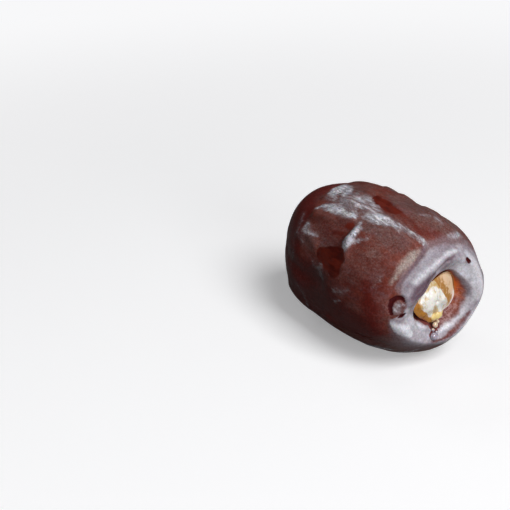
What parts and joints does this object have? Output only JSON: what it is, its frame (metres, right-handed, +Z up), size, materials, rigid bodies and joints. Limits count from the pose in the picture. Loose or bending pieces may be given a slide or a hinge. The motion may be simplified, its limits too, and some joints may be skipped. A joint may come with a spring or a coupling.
{
  "type": "date fruit",
  "caption": "Plump soft date lying on its side, with wrinkled glossy skin and a torn pale stalk remnant in its stem pit.",
  "frame": {"origin": "on the surface that the fruit rests on, under the middle of its box", "axes": "+X along the fruit towards its stem end, +Z up"},
  "size_m": [0.0392, 0.0272, 0.026],
  "materials": {
    "date_skin": "glossy, wrinkled, dark red-brown skin with a silvery bloom on its folds",
    "stalk_fibre": "moist straw-coloured fibre with a cream middle"
  },
  "bodies": {
    "root": {"date_fruit": "date_skin", "stalk_remnant": "stalk_fibre"}
  },
  "joints": []
}
